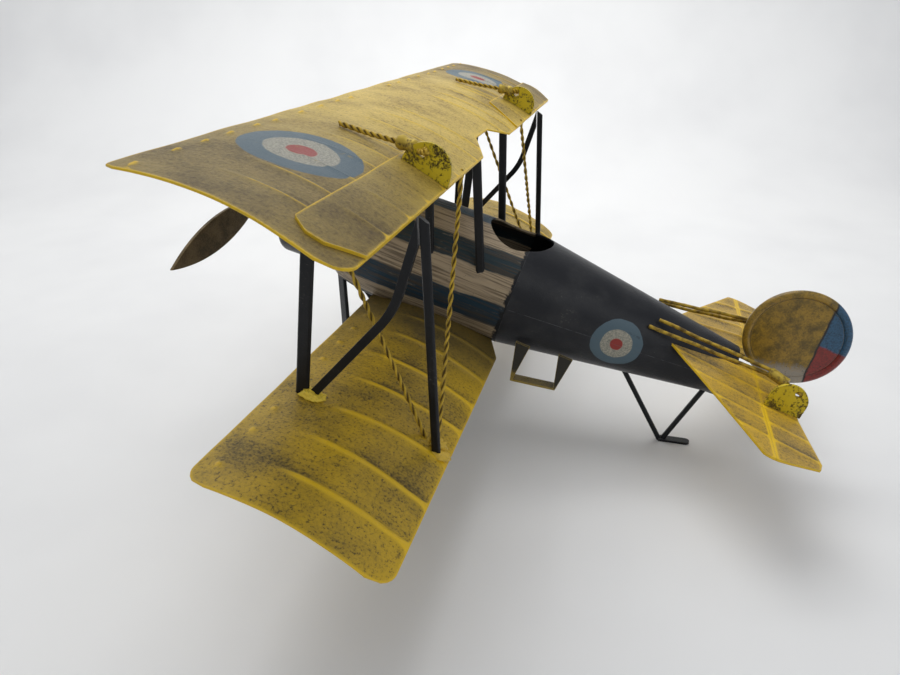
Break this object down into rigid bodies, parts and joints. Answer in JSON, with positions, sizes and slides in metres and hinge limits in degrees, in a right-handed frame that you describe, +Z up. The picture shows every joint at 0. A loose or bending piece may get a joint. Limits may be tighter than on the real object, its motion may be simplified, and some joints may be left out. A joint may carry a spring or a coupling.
{
  "type": "biplane scale model",
  "caption": "Weathered tin-plate biplane desk model with a round striped fuselage, strutted wings, turning propeller and wheels, standing on its tail skid.",
  "frame": {"origin": "centre of the bounding box's base, on the surface the model stands on", "axes": "+X to the port wing tip, +Y aft towards the tail, +Z up; nose points towards -Y"},
  "size_m": [0.4223, 0.3362, 0.1898],
  "materials": {
    "wing_yellow": "weathered mustard enamel with olive-brown patina over tin plate",
    "tail_yellow": "weathered golden-yellow enamel with dark antique wash",
    "barrel_stripes": "blue and cream stripes with a combed wood-grain look, black underside",
    "fuselage_black": "satin blue-black enamel, scuffed",
    "strut_black": "satin black enamel on flattened tube",
    "twisted_wire": "two twisted strands of antiqued bronze wire",
    "ferrule_bronze": "yellow-washed bronze",
    "control_rods": "yellow-washed wire",
    "solder_yellow": "crackled bright yellow paint over solder",
    "step_bronze": "black enamel rubbed to olive-yellow inside",
    "fin_paint": "yellow front with blue and red bands behind a slanted seam",
    "cowl_black": "satin blue-black enamel",
    "engine_metal": "dull grey-brown antiqued metal",
    "propeller_bronze": "dark bronze-brown, brushed",
    "pin_bronze": "aged bronze",
    "tyre_black": "matt black",
    "wheel_yellow": "weathered mustard enamel",
    "axle_steel": "dull steel"
  },
  "bodies": {
    "airframe": {"barrel": "barrel_stripes", "nose_bulkhead": "fuselage_black", "tail_shell_upper": "fuselage_black", "tail_shell_lower": "fuselage_black", "cowl": "cowl_black", "crankcase": "engine_metal", "engine_cylinders": "engine_metal", "propeller_pin": "pin_bronze", "upper_wing": "wing_yellow", "lower_wing_port": "wing_yellow", "lower_wing_starboard": "wing_yellow", "aileron_port": "wing_yellow", "aileron_starboard": "wing_yellow", "aileron_horn_port": "wing_yellow", "aileron_horn_starboard": "wing_yellow", "aileron_ferrules": "ferrule_bronze", "aileron_cable_port": "twisted_wire", "aileron_cable_starboard": "twisted_wire", "cabane_front_port": "strut_black", "cabane_front_starboard": "strut_black", "cabane_rear_port": "strut_black", "cabane_rear_starboard": "strut_black", "strut_front_port": "strut_black", "strut_front_starboard": "strut_black", "strut_diagonal_port": "strut_black", "strut_diagonal_starboard": "strut_black", "strut_rear_port": "strut_black", "strut_rear_starboard": "strut_black", "strut_feet": "solder_yellow", "brace_inner_port": "twisted_wire", "brace_inner_starboard": "twisted_wire", "brace_cross_port": "twisted_wire", "brace_cross_starboard": "twisted_wire", "gear_front_leg_port": "strut_black", "gear_front_leg_starboard": "strut_black", "gear_rear_leg_port": "strut_black", "gear_rear_leg_starboard": "strut_black", "axle": "axle_steel", "axle_caps": "pin_bronze", "footstep": "step_bronze", "skid_front_leg": "strut_black", "skid_rear_leg": "strut_black", "skid_foot": "strut_black", "stabiliser_port": "tail_yellow", "stabiliser_starboard": "tail_yellow", "elevator_port": "tail_yellow", "elevator_starboard": "tail_yellow", "elevator_horns": "tail_yellow", "elevator_ferrules": "ferrule_bronze", "elevator_rods_port": "control_rods", "elevator_rods_starboard": "control_rods", "fin_disc": "fin_paint", "fin_rim": "fin_paint"},
    "propeller": {"propeller_blades": "propeller_bronze", "propeller_boss": "pin_bronze"},
    "port_wheel": {"tyre_port": "tyre_black", "wheel_disc_port": "wheel_yellow"},
    "starboard_wheel": {"tyre_starboard": "tyre_black", "wheel_disc_starboard": "wheel_yellow"}
  },
  "joints": [
    {"name": "propeller_spin", "type": "hinge", "parent": "airframe", "child": "propeller", "pos_m": [-0.0032, -0.16165, 0.12834], "axis": [0, 0.965, -0.2624], "continuous": true},
    {"name": "port_wheel_roll", "type": "hinge", "parent": "airframe", "child": "port_wheel", "pos_m": [0.0538, -0.08922, 0.02], "axis": [1, 0, 0], "continuous": true},
    {"name": "starboard_wheel_roll", "type": "hinge", "parent": "airframe", "child": "starboard_wheel", "pos_m": [-0.0602, -0.08922, 0.02], "axis": [1, 0, 0], "continuous": true}
  ]
}
